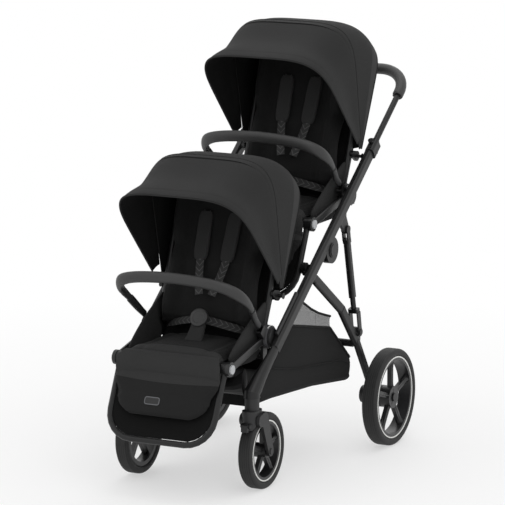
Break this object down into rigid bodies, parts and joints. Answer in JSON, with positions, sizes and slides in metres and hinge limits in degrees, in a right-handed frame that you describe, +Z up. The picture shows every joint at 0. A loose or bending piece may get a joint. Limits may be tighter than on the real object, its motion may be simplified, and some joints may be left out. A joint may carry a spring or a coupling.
{
  "type": "tandem stroller",
  "caption": "Folding tandem stroller with two forward-facing seats, one behind the other, canopies, basket and swivelling front wheels.",
  "frame": {"origin": "centre of the overall box, on the floor", "axes": "+X to the left of a person who pushes, +Y to the rear, towards the handle, +Z up"},
  "size_m": [0.6504, 1.2439, 1.2626],
  "materials": {
    "frame": "satin black powder coat",
    "plastic": "matt black plastic",
    "tyre": "matt black rubber",
    "rim": "semi-gloss black plastic with a pale ring",
    "steel": "plain steel",
    "grey_plastic": "satin grey plastic",
    "mesh": "dark polyester with mesh sides",
    "leather": "black leather look with seams",
    "lining": "dark woven cushion cloth",
    "fabric": "charcoal woven cloth"
  },
  "bodies": {
    "chassis": {"lower_tubes": "frame", "front_crossbar": "frame", "basket": "mesh", "basket_rear": "mesh", "front_adapters": "plastic"},
    "upper_frame": {"upper_tubes": "frame", "rear_adapters": "plastic"},
    "rear_leg": {"rear_legs": "frame", "rear_crossbar": "frame", "rear_axles": "plastic"},
    "strut": {"struts": "frame"},
    "handle": {"handle_tube": "frame", "handle_grip": "leather"},
    "brake_pedal": {"brake_pedal": "plastic"},
    "height_button_left": {"height_button_left": "plastic"},
    "fold_button_left": {"fold_button_left": "plastic"},
    "rear_wheel_left": {"rear_tyre_left": "tyre", "rear_rim_left": "rim"},
    "brake_pin_left": {"brake_pin_left": "steel"},
    "caster_left": {"caster_fork_left": "plastic"},
    "front_wheel_left": {"front_tyre_left": "tyre", "front_rim_left": "rim"},
    "swivel_lock_left": {"swivel_lock_left": "plastic"},
    "height_button_right": {"height_button_right": "plastic"},
    "fold_button_right": {"fold_button_right": "plastic"},
    "rear_wheel_right": {"rear_tyre_right": "tyre", "rear_rim_right": "rim"},
    "brake_pin_right": {"brake_pin_right": "steel"},
    "caster_right": {"caster_fork_right": "plastic"},
    "front_wheel_right": {"front_tyre_right": "tyre", "front_rim_right": "rim"},
    "swivel_lock_right": {"swivel_lock_right": "plastic"},
    "front_seat": {"front_seat_frame": "frame", "front_seat_pad": "fabric", "front_buckle": "plastic"},
    "front_backrest": {"front_back_frame": "frame", "front_back_pad": "lining", "front_harness": "lining", "front_canopy_rear": "fabric"},
    "front_canopy": {"front_canopy_front": "fabric"},
    "front_leg_rest": {"front_calf_frame": "frame", "front_calf_pad": "fabric"},
    "front_bumper": {"front_bumper_bar": "leather"},
    "front_recline_lever": {"front_recline_lever": "grey_plastic"},
    "front_calf_button_left": {"front_calf_button_left": "grey_plastic"},
    "front_calf_button_right": {"front_calf_button_right": "grey_plastic"},
    "rear_seat": {"rear_seat_frame": "frame", "rear_seat_pad": "fabric", "rear_buckle": "plastic"},
    "rear_backrest": {"rear_back_frame": "frame", "rear_back_pad": "lining", "rear_harness": "lining", "rear_canopy_rear": "fabric"},
    "rear_canopy": {"rear_canopy_front": "fabric"},
    "rear_leg_rest": {"rear_calf_frame": "frame", "rear_calf_pad": "fabric"},
    "rear_bumper": {"rear_bumper_bar": "leather"},
    "rear_recline_lever": {"rear_recline_lever": "grey_plastic"},
    "rear_calf_button_left": {"rear_calf_button_left": "grey_plastic"},
    "rear_calf_button_right": {"rear_calf_button_right": "grey_plastic"}
  },
  "joints": [
    {"name": "frame_fold", "type": "hinge", "parent": "chassis", "child": "upper_frame", "pos_m": [0, 0.05329, 0.62082], "axis": [1, 0, 0], "range_deg": [-85, 0], "deforming": ["basket_rear"]},
    {"name": "rear_leg_fold", "type": "hinge", "parent": "chassis", "child": "rear_leg", "pos_m": [0, -0.05474, 0.57798], "axis": [1, 0, 0], "range_deg": [-46, 0]},
    {"name": "strut_fold", "type": "hinge", "parent": "upper_frame", "child": "strut", "pos_m": [0, 0.16412, 0.66326], "axis": [1, 0, 0], "range_deg": [0, 49]},
    {"name": "handle_height", "type": "slide", "parent": "upper_frame", "child": "handle", "axis": [0, 0.7976, 0.6032], "range_m": [-0.08, 0.04]},
    {"name": "height_button_left_press", "type": "slide", "parent": "upper_frame", "child": "height_button_left", "axis": [0, 0.6032, -0.7976], "range_m": [0, 0.003], "stiffness_N_per_m": 500},
    {"name": "fold_button_left_press", "type": "slide", "parent": "upper_frame", "child": "fold_button_left", "axis": [-1, 0, 0], "range_m": [0, 0.0025], "stiffness_N_per_m": 500},
    {"name": "rear_wheel_left_spin", "type": "hinge", "parent": "rear_leg", "child": "rear_wheel_left", "pos_m": [0.3015, 0.2804, 0.145], "axis": [1, 0, 0], "continuous": true},
    {"name": "caster_left_swivel", "type": "hinge", "parent": "chassis", "child": "caster_left", "pos_m": [0.198, -0.4146, 0.24], "axis": [0, 0, 1], "continuous": true},
    {"name": "front_wheel_left_spin", "type": "hinge", "parent": "caster_left", "child": "front_wheel_left", "pos_m": [0.198, -0.3566, 0.1105], "axis": [1, 0, 0], "continuous": true},
    {"name": "swivel_lock_left_flip", "type": "hinge", "parent": "caster_left", "child": "swivel_lock_left", "pos_m": [0.198, -0.4531, 0.2005], "axis": [-1, 0, 0], "range_deg": [0, 25]},
    {"name": "height_button_right_press", "type": "slide", "parent": "upper_frame", "child": "height_button_right", "axis": [0, 0.6032, -0.7976], "range_m": [0, 0.003], "stiffness_N_per_m": 500},
    {"name": "fold_button_right_press", "type": "slide", "parent": "upper_frame", "child": "fold_button_right", "axis": [1, 0, 0], "range_m": [0, 0.0025], "stiffness_N_per_m": 500},
    {"name": "rear_wheel_right_spin", "type": "hinge", "parent": "rear_leg", "child": "rear_wheel_right", "pos_m": [-0.3015, 0.2804, 0.145], "axis": [1, 0, 0], "continuous": true},
    {"name": "caster_right_swivel", "type": "hinge", "parent": "chassis", "child": "caster_right", "pos_m": [-0.198, -0.4146, 0.24], "axis": [0, 0, 1], "continuous": true},
    {"name": "front_wheel_right_spin", "type": "hinge", "parent": "caster_right", "child": "front_wheel_right", "pos_m": [-0.198, -0.3566, 0.1105], "axis": [1, 0, 0], "continuous": true},
    {"name": "swivel_lock_right_flip", "type": "hinge", "parent": "caster_right", "child": "swivel_lock_right", "pos_m": [-0.198, -0.4531, 0.2005], "axis": [-1, 0, 0], "range_deg": [0, 25]},
    {"name": "brake_pedal_press", "type": "hinge", "parent": "rear_leg", "child": "brake_pedal", "pos_m": [-0.24, 0.3184, 0.159], "axis": [-1, 0, 0], "range_deg": [0, 15]},
    {"name": "brake_pin_left_slide", "type": "slide", "parent": "rear_leg", "child": "brake_pin_left", "axis": [1, 0, 0], "range_m": [0, 0.006]},
    {"name": "brake_pin_right_slide", "type": "slide", "parent": "rear_leg", "child": "brake_pin_right", "axis": [-1, 0, 0], "range_m": [0, 0.006]},
    {"name": "front_seat_lift", "type": "slide", "parent": "chassis", "child": "front_seat", "axis": [0, 0, -1], "range_m": [-0.06, 0]},
    {"name": "front_recline", "type": "hinge", "parent": "front_seat", "child": "front_backrest", "pos_m": [0, -0.2866, 0.425], "axis": [-1, 0, 0], "range_deg": [0, 10]},
    {"name": "front_canopy_fold", "type": "hinge", "parent": "front_backrest", "child": "front_canopy", "pos_m": [0, -0.2196, 0.532], "axis": [-1, 0, 0], "range_deg": [0, 45]},
    {"name": "front_leg_rest_tilt", "type": "hinge", "parent": "front_seat", "child": "front_leg_rest", "pos_m": [0, -0.5166, 0.375], "axis": [-1, 0, 0], "range_deg": [0, 60]},
    {"name": "front_bumper_slide", "type": "slide", "parent": "front_seat", "child": "front_bumper", "axis": [0, -0.7101, 0.7041], "range_m": [0, 0.06]},
    {"name": "front_calf_button_left_press", "type": "slide", "parent": "front_seat", "child": "front_calf_button_left", "axis": [-1, 0, 0], "range_m": [0, 0.0025], "stiffness_N_per_m": 500},
    {"name": "front_calf_button_right_press", "type": "slide", "parent": "front_seat", "child": "front_calf_button_right", "axis": [1, 0, 0], "range_m": [0, 0.0025], "stiffness_N_per_m": 500},
    {"name": "front_recline_lever_pull", "type": "slide", "parent": "front_backrest", "child": "front_recline_lever", "axis": [0, 0.342, 0.9397], "range_m": [0, 0.008], "stiffness_N_per_m": 500},
    {"name": "rear_seat_lift", "type": "slide", "parent": "upper_frame", "child": "rear_seat", "axis": [0, 0, -1], "range_m": [-0.06, 0]},
    {"name": "rear_recline", "type": "hinge", "parent": "rear_seat", "child": "rear_backrest", "pos_m": [0, 0.2344, 0.752], "axis": [-1, 0, 0], "range_deg": [0, 18]},
    {"name": "rear_canopy_fold", "type": "hinge", "parent": "rear_backrest", "child": "rear_canopy", "pos_m": [0, 0.3014, 0.859], "axis": [1, 0, 0], "range_deg": [-45, 0]},
    {"name": "rear_leg_rest_tilt", "type": "hinge", "parent": "rear_seat", "child": "rear_leg_rest", "pos_m": [0, 0.0044, 0.702], "axis": [1, 0, 0], "range_deg": [-15, 0]},
    {"name": "rear_bumper_slide", "type": "slide", "parent": "rear_seat", "child": "rear_bumper", "axis": [0, -0.7101, 0.7041], "range_m": [0, 0.06]},
    {"name": "rear_calf_button_left_press", "type": "slide", "parent": "rear_seat", "child": "rear_calf_button_left", "axis": [-1, 0, 0], "range_m": [0, 0.0025], "stiffness_N_per_m": 500},
    {"name": "rear_calf_button_right_press", "type": "slide", "parent": "rear_seat", "child": "rear_calf_button_right", "axis": [1, 0, 0], "range_m": [0, 0.0025], "stiffness_N_per_m": 500},
    {"name": "rear_recline_lever_pull", "type": "slide", "parent": "rear_backrest", "child": "rear_recline_lever", "axis": [0, 0.342, 0.9397], "range_m": [0, 0.008], "stiffness_N_per_m": 500}
  ],
  "couplings": [
    {"joint": "rear_leg_fold", "follows": "frame_fold", "ratio": 0.536},
    {"joint": "strut_fold", "follows": "frame_fold", "ratio": -0.569},
    {"joint": "brake_pin_left_slide", "follows": "brake_pedal_press", "m_per_rad": 0.0229},
    {"joint": "brake_pin_right_slide", "follows": "brake_pedal_press", "m_per_rad": 0.0229}
  ]
}
